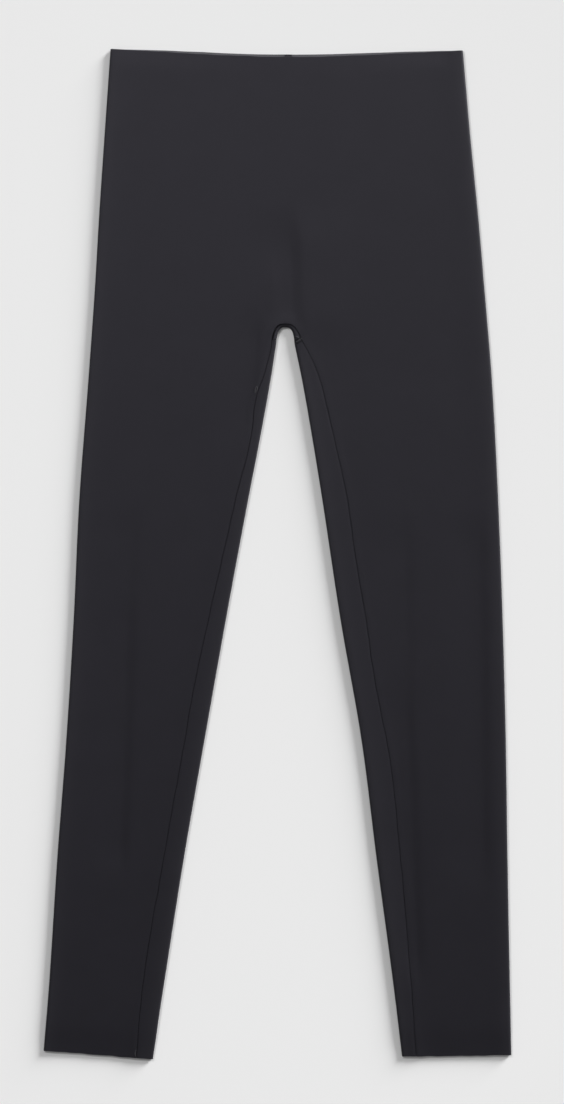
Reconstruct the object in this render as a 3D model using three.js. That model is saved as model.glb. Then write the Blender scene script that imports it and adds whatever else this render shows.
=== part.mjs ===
// Full-length leggings of smooth knit, laid flat on their back with the front up.
// Millimetres. The waist points towards +Y, +Z is up, and the back rests on z = 0.
// Left and right are those of the view from above.
//
// A body in one piece makes the front, the sides and the back of both legs. It closes at the centre back
// and along the two inseams, which lie on the front because the back comes round the inner edge of each leg.
// A small gusset is folded round the crotch. Waist and hems are clean-cut single edges.

import * as THREE from 'three';
import { mergeVertices } from 'three/addons/utils/BufferGeometryUtils.js';

// Cloth
const CLOTH = 1.2;
const SEAM_GAP = 0.3;
const FOLD_RADIUS = 1.5;                            // roll at a folded edge, to the middle of the wall
const BACK_MID = CLOTH / 2;                         // middle of the back layer above the surface
const FRONT_EDGE_MID = BACK_MID + 2 * FOLD_RADIUS;  // middle of the front layer where it leaves a fold
const FRONT_SAG = 0.5;                              // the front lies this much lower between its folds
const FOLD_INSET = FOLD_RADIUS + CLOTH / 2;         // from the outline to the centre of the roll
const QUARTER_ROLL = FOLD_RADIUS * Math.PI / 2;
const ROLL_FADE = 18;                               // how far the raised edge reaches into the front

// Folded side edges, from the waist to the hems
const SIDES = [
  { y: 489, left: -162.0, right: 179.9 },
  { y: 412, left: -167.4, right: 186.4 },
  { y: 334, left: -172.7, right: 194.1 },
  { y: 256, left: -177.3, right: 200.9 },
  { y: 169, left: -183.5, right: 208.0 },
  { y: 53, left: -192.3, right: 214.1 },
  { y: -64, left: -197.8, right: 218.5 },
  { y: -180, left: -204.9, right: 221.5 },
  { y: -297, left: -213.8, right: 223.2 },
  { y: -413, left: -221.3, right: 225.4 },
  { y: -486, left: -226.9, right: 226.9 },
];

// Folded inner edges of the legs, below the crotch arch
const INNER_EDGES = [
  { y: 204, left: -1.3, right: 16.5 },
  { y: 169, left: -6.7, right: 23.8 },
  { y: 111, left: -17.2, right: 34.0 },
  { y: 53, left: -28.4, right: 43.4 },
  { y: -64, left: -50.1, right: 61.2 },
  { y: -180, left: -70.7, right: 81.4 },
  { y: -297, left: -91.1, right: 96.3 },
  { y: -413, left: -109.4, right: 111.8 },
  { y: -488, left: -121.2, right: 121.1 },
];

// How far each inseam lies from the inner edge: the part of the back that shows on the front
const INSEAMS = [
  { y: 208, left: 4.4, right: 7.0 },
  { y: 198, left: 4.3, right: 11.0 },
  { y: 176, left: 6.6, right: 16.6 },
  { y: 150, left: 11.0, right: 19.2 },
  { y: 112, left: 8.8, right: 21.2 },
  { y: 53, left: 12.2, right: 24.6 },
  { y: -6, left: 14.4, right: 23.8 },
  { y: -64, left: 17.0, right: 25.0 },
  { y: -122, left: 19.0, right: 22.8 },
  { y: -210, left: 19.1, right: 25.1 },
  { y: -297, left: 19.6, right: 23.2 },
  { y: -413, left: 20.5, right: 17.6 },
  { y: -488, left: 15.8, right: 13.6 },
];

// Large soft folds of the front layer: straight stretches, a trough where the height is negative
const SOFT_FOLDS = [
  { name: 'beside the crotch, right', x1: 21, y1: 300, x2: 32, y2: 224, width: 16, height: -0.8 },
  { name: 'over the crotch', x1: -3, y1: 272, x2: -1, y2: 236, width: 12, height: 0.7 },
  { name: 'beside the crotch, left', x1: -20, y1: 212, x2: -22, y2: 138, width: 13, height: -0.8 },
  { name: 'left leg, outside', x1: -139, y1: 14, x2: -151, y2: -290, width: 18, height: -0.9 },
  { name: 'right leg, knee', x1: 130, y1: 4, x2: 134, y2: -158, width: 18, height: -0.8 },
  { name: 'right leg, calf', x1: 134, y1: -158, x2: 141, y2: -384, width: 18, height: -0.8 },
  { name: 'right leg, outside', x1: 200, y1: 4, x2: 205, y2: -290, width: 15, height: -0.7 },
];
const FOLD_END_FADE = 40;

// Waist: the corners, the dip of the back between them, and how much lower the front edge lies
const WAIST_LEFT_Y = 489.7;
const WAIST_RIGHT_Y = 488.2;
const WAIST_DIP = 4.4;
const FRONT_WAIST_DROP = 2.4;
const WAIST_FADE = 50;

// Hems, clean-cut and a little slanted
const HEM = {
  left: { outerX: -226.9, outerY: -481.4, innerX: -121.3, innerY: -489.7 },
  right: { outerX: 226.9, outerY: -485.8, innerX: 121.1, innerY: -487.2 },
};
const HEM_FADE = 60;

// Crotch arch: a rounded, nearly flat top over steep sides, open towards the hems
const CROTCH_X = 7.6;
const CROTCH_Y = 220;
const ARCH_HEIGHT = 16;
const ARCH_HALF_WIDTH = 7.62;
const ARCH_SQUARENESS = 3;                          // 2 would be an ellipse
const ARCH_TAPER = 0.08;
const ARCH_BASE_Y = CROTCH_Y - ARCH_HEIGHT;

// Gusset: a band on the front and a leaf on the back
const GUSSET_BAND = 3.4;
const GUSSET_BACK_HALF_WIDTH = 12;
const GUSSET_BACK_LENGTH = 60;
const GUSSET_BACK_Y = 209;
const GUSSET_END_TOP_Y = 209.3;                     // its short ends run round the inner edge of each leg
const GUSSET_END_LOW_Y = 207.5;
const GUSSET_TIP_Y = GUSSET_BACK_Y + GUSSET_BACK_LENGTH;
const FRONT_SEAM_TOP_Y = CROTCH_Y + GUSSET_BAND + SEAM_GAP / 2;

// Sections of the body: how many lie in each stretch from the waist to the hems
const ROWS_START_Y = 489;
const THIGH_Y = 176;
const ROWS_END_Y = -486;
const ROW_STEPS = { seat: 9, leaf: 4, arch: 8, gussetEnd: 5, thigh: 5, leg: 25 };

// Columns of a section, from the front seam round to the end of the back. The tail is its last stretch,
// and its last few columns, the strip, lie on the front beside the inseam.
const COLUMNS = { front: 8, outerFold: 4, back: 4, tail: 7, strip: 2 };
const TAIL_LENGTH = 10;                             // flat stretch of the back before its inner edge

// Gusset, from the front over the fold to the back, and along the arch
const GUSSET_COLUMNS = { front: 2, fold: 4, back: 4 };
const GUSSET_STEPS = 16;
const GUSSET_END_GAP = 0.4;

const SLOPE_STEP = 0.5;                             // slopes of the front are taken over this distance
const TANGENT_STEP = 0.01;
const MERGE_DISTANCE = 1e-4;

const KNIT_CHARCOAL = 0x2f2e33;

const SIDE_SIGN = { left: -1, right: 1 };

function smooth(t) {
  const clamped = Math.min(1, Math.max(0, t));
  return clamped * clamped * (3 - 2 * clamped);
}

// Value of a table's column at a height, along a smooth curve through its rows
function along(table, column, y) {
  const last = table.length - 2;
  let index = 0;
  while (index < last && y < table[index + 1].y) index += 1;
  const from = table[index];
  const to = table[index + 1];
  const slope = (a, b) => (b[column] - a[column]) / (b.y - a.y);
  const chord = slope(from, to);
  const startSlope = index > 0 ? (slope(table[index - 1], from) + chord) / 2 : chord;
  const endSlope = index < last ? (slope(to, table[index + 2]) + chord) / 2 : chord;
  const span = to.y - from.y;
  const t = (y - from.y) / span;
  const t2 = t * t;
  const t3 = t2 * t;
  return from[column] * (2 * t3 - 3 * t2 + 1) + startSlope * span * (t3 - 2 * t2 + t)
    + to[column] * (3 * t2 - 2 * t3) + endSlope * span * (t3 - t2);
}

// Half the width of the crotch arch, or of a line drawn round it at the distance grow
function halfArch(y, grow = 0) {
  const rise = Math.max(0, (y - ARCH_BASE_Y) / (ARCH_HEIGHT + grow));
  const round = Math.max(0, 1 - rise ** ARCH_SQUARENESS) ** (1 / ARCH_SQUARENESS);
  return (ARCH_HALF_WIDTH + grow) * round + ARCH_TAPER * (CROTCH_Y + grow - y);
}

function innerEdge(side, y) {
  if (y >= ARCH_BASE_Y) return CROTCH_X + SIDE_SIGN[side] * halfArch(Math.min(y, CROTCH_Y));
  return along(INNER_EDGES, side, y);
}

// Seam line on the front, or a line beside it at the distance grow: round the arch, then down the leg
function frontSeam(side, y, grow = 0) {
  const sign = SIDE_SIGN[side];
  if (y >= INSEAMS[0].y) {
    const top = CROTCH_Y + GUSSET_BAND + grow;
    if (y >= top) return CROTCH_X;
    const start = INSEAMS[0];
    const widening = start[side] + halfArch(start.y) - halfArch(start.y, GUSSET_BAND);
    const half = halfArch(y, GUSSET_BAND + grow) + widening * smooth((top - y) / (top - start.y));
    return CROTCH_X + sign * half;
  }
  const seam = (height) => innerEdge(side, height) + sign * along(INSEAMS, side, height);
  const lean = (seam(y - SLOPE_STEP) - seam(y)) / SLOPE_STEP;
  return seam(y) + sign * grow * Math.hypot(1, lean);
}

// Height of a point on a round top, from its top (0) to its low end (1), in even steps along its curve
function roundHeight(share, top, low) {
  const radius = top - ARCH_BASE_Y;
  const lowest = Math.asin(((low - ARCH_BASE_Y) / radius) ** (ARCH_SQUARENESS / 2));
  const angle = Math.PI / 2 + (lowest - Math.PI / 2) * share;
  return ARCH_BASE_Y + radius * Math.sin(angle) ** (2 / ARCH_SQUARENESS);
}

// Half the width of the gusset's leaf on the back
function halfLeaf(y) {
  const rise = Math.min(1, Math.max(0, (y - GUSSET_BACK_Y) / GUSSET_BACK_LENGTH));
  return GUSSET_BACK_HALF_WIDTH * (1 - rise * rise);
}

// Sum of the large soft folds at a point of the front
function softFolds(x, y) {
  let height = 0;
  for (const fold of SOFT_FOLDS) {
    const dx = fold.x2 - fold.x1;
    const dy = fold.y2 - fold.y1;
    const length = Math.hypot(dx, dy);
    const run = ((x - fold.x1) * dx + (y - fold.y1) * dy) / length;
    const off = ((x - fold.x1) * dy - (y - fold.y1) * dx) / length;
    const ends = smooth((run + FOLD_END_FADE) / FOLD_END_FADE)
      * smooth((length + FOLD_END_FADE - run) / FOLD_END_FADE);
    height += fold.height * ends * Math.exp(-((2 * off / fold.width) ** 2));
  }
  return height;
}

// Height of the middle of the front layer: raised beside the folded edges, and flat against them
function frontMid(x, y) {
  const side = x < CROTCH_X ? 'left' : 'right';
  const outer = Math.abs(along(SIDES, side, y) - x) - FOLD_INSET;
  const above = Math.max(0, y - CROTCH_Y);
  const inner = Math.hypot(Math.max(0, Math.abs(x - innerEdge(side, y)) - FOLD_INSET), above);
  const edge = (distance) => Math.exp(-((distance / ROLL_FADE) ** 2));
  const raised = Math.min(1, edge(Math.max(0, outer)) + edge(inner));
  const calm = smooth(outer / ROLL_FADE) * (above > 0 ? 1 : smooth(inner / ROLL_FADE));
  return FRONT_EDGE_MID - FRONT_SAG * (1 - raised) + softFolds(x, y) * calm;
}

// Edges along the garment: at the waist and the hems a section is shifted to the cut edge
function cutShift(side, x, y, frontShare) {
  const waist = smooth((y - (WAIST_LEFT_Y - WAIST_FADE)) / WAIST_FADE);
  const hem = smooth((ROWS_END_Y + HEM_FADE - y) / HEM_FADE);
  let shift = 0;
  if (waist > 0) {
    const across = (x - SIDES[0].left) / (SIDES[0].right - SIDES[0].left);
    const corner = WAIST_LEFT_Y + (WAIST_RIGHT_Y - WAIST_LEFT_Y) * across;
    const dip = WAIST_DIP * Math.sin(Math.PI * across) ** 2;
    const drop = FRONT_WAIST_DROP * frontShare * (1 - Math.abs(2 * across - 1) ** 3);
    shift += waist * (corner - dip - drop - ROWS_START_Y);
  }
  if (hem > 0) {
    const cut = HEM[side];
    const slope = (cut.outerY - cut.innerY) / (cut.outerX - cut.innerX);
    shift += hem * (cut.innerY + slope * (x - cut.innerX) - ROWS_END_Y);
  }
  return shift;
}

// Heights of the sections, closest together round the crotch
function rowHeights() {
  const heights = [];
  const stretch = (from, to, steps) => {
    for (let step = 0; step < steps; step += 1) heights.push(from + (to - from) * step / steps);
  };
  stretch(ROWS_START_Y, GUSSET_TIP_Y, ROW_STEPS.seat);
  stretch(GUSSET_TIP_Y, FRONT_SEAM_TOP_Y, ROW_STEPS.leaf);
  for (let step = 0; step < ROW_STEPS.arch; step += 1) {
    heights.push(roundHeight(step / ROW_STEPS.arch, FRONT_SEAM_TOP_Y, GUSSET_END_TOP_Y));
  }
  stretch(GUSSET_END_TOP_Y, GUSSET_END_LOW_Y, ROW_STEPS.gussetEnd);
  stretch(GUSSET_END_LOW_Y, THIGH_Y, ROW_STEPS.thigh);
  stretch(THIGH_Y, ROWS_END_Y, ROW_STEPS.leg);
  heights.push(ROWS_END_Y);
  return heights;
}

// A point of the middle of the wall, with its direction out of the garment and its share of the front
function frontPoint(x, y) {
  const slope = (frontMid(x + SLOPE_STEP, y) - frontMid(x - SLOPE_STEP, y)) / (2 * SLOPE_STEP);
  const length = Math.hypot(slope, 1);
  return { x, z: frontMid(x, y), nx: -slope / length, nz: 1 / length, front: 1 };
}

function backPoint(x) {
  return { x, z: BACK_MID, nx: 0, nz: -1, front: 0 };
}

// A point of a folded edge: angle 0 on the front, a half turn later on the back
function foldPoint(edge, outward, angle) {
  const centre = edge - outward * FOLD_INSET;
  const nx = outward * Math.sin(angle);
  const nz = Math.cos(angle);
  return {
    x: centre + FOLD_RADIUS * nx, z: BACK_MID + FOLD_RADIUS + FOLD_RADIUS * nz, nx, nz,
    front: (1 + nz) / 2,
  };
}

// A point near the inner edge of a leg, by its distance round the wall from the edge: minus on the back
function innerLoopPoint(side, y, distance) {
  const edge = innerEdge(side, y);
  const outward = -SIDE_SIGN[side];
  const beyond = Math.abs(distance) - QUARTER_ROLL;
  if (beyond <= 0) return foldPoint(edge, outward, Math.PI / 2 - distance / FOLD_RADIUS);
  const x = edge - outward * (FOLD_INSET + beyond);
  return distance > 0 ? frontPoint(x, y) : backPoint(x);
}

// Where the back ends, as a distance round the inner edge of the leg
function backEndDistance(side, y) {
  const flat = (inset) => QUARTER_ROLL + inset - FOLD_INSET;
  const atLeaf = -flat(halfLeaf(y) + SEAM_GAP - halfArch(y));
  const atSeam = flat(Math.abs(frontSeam(side, y, -SEAM_GAP / 2) - innerEdge(side, y)));
  const turn = (GUSSET_END_TOP_Y - y) / (GUSSET_END_TOP_Y - GUSSET_END_LOW_Y);
  return atLeaf + (atSeam - atLeaf) * Math.min(1, Math.max(0, turn));
}

// Last stretch of the back in a section: flat to the centre back or the gusset, or round the inner edge
function tailPoints(side, y) {
  const sign = SIDE_SIGN[side];
  const count = COLUMNS.tail;
  const points = [];
  if (y > GUSSET_END_TOP_Y) {
    const end = y < GUSSET_TIP_Y ? halfLeaf(y) + SEAM_GAP : SEAM_GAP / 2;
    for (let step = 0; step <= count; step += 1) {
      points.push(backPoint(CROTCH_X + sign * (end + TAIL_LENGTH * (1 - step / count))));
    }
    return points;
  }
  const end = backEndDistance(side, y);
  const start = -(QUARTER_ROLL + TAIL_LENGTH);
  const settledEnd = Math.max(end, backEndDistance(side, GUSSET_END_LOW_Y));
  const squeeze = (end - start) / (settledEnd - start);
  const foldSteps = count - 1 - COLUMNS.strip;
  for (let step = 0; step <= count; step += 1) {
    let distance = start;
    if (step > foldSteps + 1) {
      distance = QUARTER_ROLL + (settledEnd - QUARTER_ROLL) * (step - foldSteps - 1) / COLUMNS.strip;
    } else if (step > 0) {
      distance = QUARTER_ROLL * (2 * (step - 1) / foldSteps - 1);
    }
    points.push(innerLoopPoint(side, y, start + (distance - start) * squeeze));
  }
  return points;
}

// A whole section of one half, from the front seam or the centre front round to the end of the back
function section(side, y) {
  const sign = SIDE_SIGN[side];
  const outer = along(SIDES, side, y);
  const start = frontSeam(side, y, SEAM_GAP / 2);
  const frontEnd = outer - sign * FOLD_INSET;
  const points = [];
  for (let step = 0; step < COLUMNS.front; step += 1) {
    points.push(frontPoint(start + (frontEnd - start) * step / COLUMNS.front, y));
  }
  for (let step = 0; step <= COLUMNS.outerFold; step += 1) {
    points.push(foldPoint(outer, sign, Math.PI * step / COLUMNS.outerFold));
  }
  const tail = tailPoints(side, y);
  for (let step = 1; step < COLUMNS.back; step += 1) {
    points.push(backPoint(frontEnd + (tail[0].x - frontEnd) * step / COLUMNS.back));
  }
  points.push(...tail);
  return points;
}

// Outer and inner point of the wall at a point of its middle
function wallPoint(point, y, shift, my = 0) {
  const half = CLOTH / 2;
  return {
    outer: [point.x + point.nx * half, y + shift + my * half, point.z + point.nz * half],
    inner: [point.x - point.nx * half, y + shift - my * half, point.z - point.nz * half],
  };
}

// Collects the faces of a wall given as a grid of points, with rims along its cut edges
class Wall {
  constructor() {
    this.positions = [];
  }

  quad(a, b, c, d, flip) {
    const corners = flip ? [a, c, b, a, d, c] : [a, b, c, a, c, d];
    for (const corner of corners) this.positions.push(...corner);
  }

  // From the row firstColumnCutFrom on, the first column is a cut edge too
  add(grid, flip, firstColumnCutFrom = 0) {
    const rows = grid.length - 1;
    const columns = grid[0].length - 1;
    for (let row = 0; row < rows; row += 1) {
      const here = grid[row];
      const next = grid[row + 1];
      for (let column = 0; column < columns; column += 1) {
        const a = here[column];
        const b = next[column];
        const c = next[column + 1];
        const d = here[column + 1];
        this.quad(a.outer, b.outer, c.outer, d.outer, flip);
        this.quad(a.inner, d.inner, c.inner, b.inner, flip);
      }
      if (row >= firstColumnCutFrom) {
        this.quad(here[0].outer, here[0].inner, next[0].inner, next[0].outer, flip);
      }
      this.quad(here[columns].outer, next[columns].outer, next[columns].inner, here[columns].inner, flip);
    }
    for (let column = 0; column < columns; column += 1) {
      const top = grid[0];
      const low = grid[rows];
      this.quad(top[column].outer, top[column + 1].outer, top[column + 1].inner, top[column].inner, flip);
      this.quad(low[column].outer, low[column].inner, low[column + 1].inner, low[column + 1].outer, flip);
    }
  }

  mesh(name) {
    const soup = new THREE.BufferGeometry();
    soup.setAttribute('position', new THREE.Float32BufferAttribute(this.positions, 3));
    const geometry = mergeVertices(soup, MERGE_DISTANCE);
    geometry.computeVertexNormals();
    const material = new THREE.MeshStandardMaterial({ color: KNIT_CHARCOAL, roughness: 0.85, metalness: 0 });
    const mesh = new THREE.Mesh(geometry, material);
    mesh.name = name;
    return mesh;
  }
}

// Front, sides and back of both legs, welded along the centre front above the crotch
function makeBody() {
  const heights = rowHeights();
  const wall = new Wall();
  const crotchRow = ROW_STEPS.seat + ROW_STEPS.leaf;
  for (const side of ['left', 'right']) {
    const grid = heights.map((y) => section(side, y).map((point) => (
      wallPoint(point, y, cutShift(side, point.x, y, point.front)))));
    wall.add(grid, side === 'left', crotchRow);
  }
  return wall.mesh('body');
}

// A point of the arch, or of the gusset's edge round it, from the left end (0) to the right end (1)
function archPoint(t, endY) {
  const y = roundHeight(Math.abs(2 * t - 1), CROTCH_Y, endY);
  return [innerEdge(t < 0.5 ? 'left' : 'right', y), y];
}

function bandPoint(t, endY) {
  const y = roundHeight(Math.abs(2 * t - 1), CROTCH_Y + GUSSET_BAND - SEAM_GAP / 2, endY);
  return [frontSeam(t < 0.5 ? 'left' : 'right', y, -SEAM_GAP / 2), y];
}

function leafPoint(t, startY) {
  const sign = t < 0.5 ? -1 : 1;
  const y = startY + (GUSSET_TIP_Y - startY) * (1 - Math.abs(2 * t - 1));
  return [CROTCH_X + sign * halfLeaf(y), y];
}

// Gusset: from the seam on the front, round the crotch arch, and on to its seam on the back
function makeGusset() {
  const wall = new Wall();
  const grid = [];
  const foldEndY = (GUSSET_END_TOP_Y + GUSSET_END_LOW_Y) / 2 + GUSSET_END_GAP;
  for (let step = 0; step <= GUSSET_STEPS; step += 1) {
    const t = step / GUSSET_STEPS;
    const arch = archPoint(t, foldEndY);
    const seam = bandPoint(t, GUSSET_END_LOW_Y + GUSSET_END_GAP);
    const leaf = leafPoint(t, GUSSET_END_TOP_Y + GUSSET_END_GAP);
    const ahead = archPoint(Math.min(1, t + TANGENT_STEP), foldEndY);
    const behind = archPoint(Math.max(0, t - TANGENT_STEP), foldEndY);
    const length = Math.hypot(ahead[0] - behind[0], ahead[1] - behind[1]);
    const out = [(ahead[1] - behind[1]) / length, -(ahead[0] - behind[0]) / length];
    const roll = [arch[0] - out[0] * FOLD_INSET, arch[1] - out[1] * FOLD_INSET];
    const row = [];
    for (let column = 0; column < GUSSET_COLUMNS.front; column += 1) {
      const share = column / GUSSET_COLUMNS.front;
      const x = seam[0] + (roll[0] - seam[0]) * share;
      const y = seam[1] + (roll[1] - seam[1]) * share;
      row.push(wallPoint({ x, z: frontMid(x, y), nx: 0, nz: 1 }, y, 0));
    }
    for (let column = 0; column <= GUSSET_COLUMNS.fold; column += 1) {
      const angle = Math.PI * column / GUSSET_COLUMNS.fold;
      const reach = FOLD_RADIUS * Math.sin(angle);
      const point = {
        x: roll[0] + out[0] * reach,
        z: BACK_MID + FOLD_RADIUS * (1 + Math.cos(angle)),
        nx: out[0] * Math.sin(angle),
        nz: Math.cos(angle),
      };
      row.push(wallPoint(point, roll[1] + out[1] * reach, 0, out[1] * Math.sin(angle)));
    }
    for (let column = 1; column <= GUSSET_COLUMNS.back; column += 1) {
      const share = column / GUSSET_COLUMNS.back;
      const x = roll[0] + (leaf[0] - roll[0]) * share;
      row.push(wallPoint(backPoint(x), roll[1] + (leaf[1] - roll[1]) * share, 0));
    }
    grid.push(row);
  }
  wall.add(grid, true);
  return wall.mesh('gusset');
}

const leggings = new THREE.Group();
leggings.add(makeBody(), makeGusset());

export default leggings;
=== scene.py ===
# Leggings of smooth charcoal knit, laid flat on a pale floor and seen from straight above.
# Tables and sizes are in millimetres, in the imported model's own frame, and meshes are made in metres.

import math

import bmesh
import bpy
import numpy as np
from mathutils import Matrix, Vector


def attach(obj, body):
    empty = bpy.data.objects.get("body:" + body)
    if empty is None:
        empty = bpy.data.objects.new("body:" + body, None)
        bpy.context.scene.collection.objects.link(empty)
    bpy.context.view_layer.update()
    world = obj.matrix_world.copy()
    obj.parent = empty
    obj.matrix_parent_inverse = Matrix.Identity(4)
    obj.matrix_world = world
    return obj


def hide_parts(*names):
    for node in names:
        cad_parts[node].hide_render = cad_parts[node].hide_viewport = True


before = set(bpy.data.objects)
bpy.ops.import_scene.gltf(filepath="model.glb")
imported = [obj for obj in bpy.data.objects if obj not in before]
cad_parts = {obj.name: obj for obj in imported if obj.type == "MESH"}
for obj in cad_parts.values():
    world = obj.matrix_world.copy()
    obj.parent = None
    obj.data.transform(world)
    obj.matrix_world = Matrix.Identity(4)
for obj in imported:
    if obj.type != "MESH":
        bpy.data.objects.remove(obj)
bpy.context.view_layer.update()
for name in ("Cube", "Light", "Camera"):
    if name in bpy.data.objects:
        bpy.data.objects.remove(bpy.data.objects[name])

MM = 0.001
SIGN = {"left": -1, "right": 1}


def named_rows(columns, rows):
    """A table as a list of its rows, with the names of its columns."""
    return [dict(zip(columns.split(), row)) for row in rows]


# Cloth
CLOTH = 1.2
SEAM_GAP = 0.5
FOLD_RADIUS = 1.5
BACK_MID = CLOTH / 2
FRONT_EDGE_MID = BACK_MID + 2 * FOLD_RADIUS
FRONT_SAG = 0.5
FOLD_INSET = FOLD_RADIUS + CLOTH / 2
FOLD_FADE = 1.2
QUARTER_ROLL = FOLD_RADIUS * math.pi / 2
ROLL_FADE = 18

# Folded side edges, from the waist to the hems
SIDES = named_rows("y left right", [
    (489, -162.0, 179.9),
    (412, -167.4, 186.4),
    (334, -172.7, 194.1),
    (256, -177.3, 200.9),
    (169, -183.5, 208.0),
    (53, -192.3, 214.1),
    (-64, -197.8, 218.5),
    (-180, -204.9, 221.5),
    (-297, -213.8, 223.2),
    (-413, -221.3, 225.4),
    (-486, -226.9, 226.9),
])

# Folded inner edges of the legs, below the crotch arch
INNER_EDGES = named_rows("y left right", [
    (204, -1.3, 16.5),
    (169, -6.7, 23.8),
    (111, -17.2, 34.0),
    (53, -28.4, 43.4),
    (-64, -50.1, 61.2),
    (-180, -70.7, 81.4),
    (-297, -91.1, 96.3),
    (-413, -109.4, 111.8),
    (-488, -121.2, 121.1),
])

# How far each inseam lies from the inner edge
INSEAMS = named_rows("y left right", [
    (208, 4.4, 7.0),
    (198, 4.3, 11.0),
    (176, 6.6, 16.6),
    (150, 11.0, 19.2),
    (112, 8.8, 21.2),
    (53, 12.2, 24.6),
    (-6, 14.4, 23.8),
    (-64, 17.0, 25.0),
    (-122, 19.0, 22.8),
    (-210, 19.1, 25.1),
    (-297, 19.6, 23.2),
    (-413, 20.5, 17.6),
    (-488, 15.8, 13.6),
])

# Creases of the front layer, from one end to the other, with the width of each side and the height, which is
# negative in a trough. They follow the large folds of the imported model, and the troughs are steep to the right.
CREASES = named_rows("from to left right height", [
    ((12, 298), (14, 236), 34, 8.5, -0.72),
    ((26.5, 296), (29, 234), 11, 48, 0.62),
    ((-5, 262), (-4, 240), 14, 5, 0.2),
    ((7, 256), (8, 248), 18, 18, 0.48),
    ((-22, 205), (-25, 140), 24, 6.5, -0.7),
    ((-142, 14), (-144, -34), 30, 6.5, -0.45),
    ((-145, -74), (-152, -280), 30, 6.5, -0.88),
    ((124, 4), (125, -118), 30, 7, -0.5),
    ((125, -158), (135, -384), 30, 6.5, -0.8),
    ((196, 4), (199, -290), 26, 6.5, -0.65),
])
CREASE_FADE = 40

# Creases of the hidden back layer, which lift it a little off the floor
BACK_CREASES = named_rows("from to left right height", [
    ((-60, 400), (-84, 300), 9, 6, 0.3),
    ((70, 330), (96, 250), 8, 5, 0.3),
    ((-70, 180), (-96, 60), 10, 7, 0.3),
    ((92, 150), (104, 30), 9, 6, 0.3),
    ((-118, -60), (-112, -260), 10, 7, 0.3),
    ((160, -120), (168, -330), 9, 6, 0.3),
])

# Waist and hems
WAIST_LEFT_Y = 489.7
WAIST_RIGHT_Y = 488.2
WAIST_DIP = 4.4
FRONT_WAIST_DROP = 2.4
WAIST_FADE = 50
SETTLE_FADE = 17
SETTLE_DEPTH = 0.8
SETTLE_MIDDLE = 0.65
HEM_SETTLE_FADE = 30
HEM_SETTLE_DEPTH = 1.0
HEM_SEAM_HOLD = 0.45
HEM_SEAM_REACH = 9
HEM = {
    "left": {"outer": (-226.9, -481.4), "inner": (-121.3, -489.7)},
    "right": {"outer": (226.9, -485.8), "inner": (121.1, -487.2)},
}
HEM_FADE = 60

# Small waves along the cut edges, each with its height, length and seed
WAIST_WAVES = {"front": (0.25, 17, 11), "back": (0.2, 23, 12)}
HEM_WAVES = {"front": (0.3, 13, 21), "back": (0.25, 16, 22)}

# Powers: how late the waves set in, and how square the front's drop and the calm corners are
CUT_WAVES_POWER = 6
DROP_POWER = 3
CORNER_POWER = 8

# A ripple: how many sines, the range of the steps between them, and a gain that brings it near 1
RIPPLE_SINES = 5
RIPPLE_STEP = (0.6, 1.1)
RIPPLE_GAIN = 1.4

# Crotch arch and gusset
CROTCH_X = 7.6
CROTCH_Y = 220
ARCH_HEIGHT = 16
ARCH_HALF_WIDTH = 7.62
ARCH_SQUARENESS = 3
ARCH_TAPER = 0.08
ARCH_BASE_Y = CROTCH_Y - ARCH_HEIGHT
GUSSET_BAND = 3.4
LEAF_HALF_WIDTH = 12
LEAF_LENGTH = 60
LEAF_Y = 209
LEAF_TIP_Y = LEAF_Y + LEAF_LENGTH
GUSSET_END_TOP_Y = 209.3
GUSSET_END_LOW_Y = 207.5
GUSSET_END_GAP = 0.12

# How far the gusset's front edge is drawn back from the seam at each end, and where it changes over
GUSSET_DRAW = {"left": 0.9, "right": 0.45}
GUSSET_DRAW_START = 0.5
GUSSET_DRAW_SPAN = 0.4
FRONT_SEAM_TOP_Y = CROTCH_Y + GUSSET_BAND + SEAM_GAP / 2

# Sections of the body, from the waist to the hems, and columns round a section
ROWS_START_Y = 489
THIGH_Y = 176
ROWS_END_Y = -486
ROW_STEPS = {"seat": 40, "leaf": 16, "arch": 24, "gusset_end": 6, "thigh": 12, "leg": 104}
ARCH_ROW_STEP = 0.4
COLUMNS = {"near": 28, "front": 40, "outer_fold": 8, "back": 9, "tail": 19, "strip": 10}
NEAR_WIDTH = 34
NEAR_CROWDING = 1.6
END_CROWDING = 2.1
TAIL_LENGTH = 10
GUSSET_COLUMNS = {"front": 8, "fold": 8, "back": 10}
GUSSET_STEPS = 48
GUSSET_FLAT = 46
# Width of the painted sheen beside the folded edges, and how it fades in below the arch
EDGE_SHEEN_WIDTH = 9
EDGE_SHEEN_FADE = 20
SLOPE_STEP = 0.5
TANGENT_STEP = 0.01

# Lines that distances are measured from, and how far away a point no longer notices one
LINE_OVERRUN = 12
LINE_STEP = 2.0
LINE_ARCH_POINTS = 40
NEAR = 45

# Seams: the cloth rolls into them, and the allowance inside lifts a soft ridge beside them
SEAM_ROLL_DEPTH = 0.04
SEAM_ROLL_WIDTH = 0.6
SEAM_ROLL_WAVES = (0.35, 7, 4)
SEAM_RIDGE_HEIGHT = 0.06
SEAM_RIDGE_OFF = 3.2
SEAM_RIDGE_WIDTH = 2.2
SEAM_RIDGE_WAVES = (0.3, 11, 3)
SEAM_WAVER = 0.35
SEAM_WAVER_FADE = 12
SEAM_WAVER_LENGTH = 17
SEAM_WAVER_SEED = 5
ALLOWANCE = 0.6
ALLOWANCE_WIDTH = 6.4
ALLOWANCE_LAP = 0.7
ALLOWANCE_PLAY = 0.06
ALLOWANCE_SHORT = 0.4
ALLOWANCE_START = 2
ALLOWANCE_TIP_GAP = 2
ALLOWANCE_COLUMNS = 4
CENTRE_SEAM_GAP = 1

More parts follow.
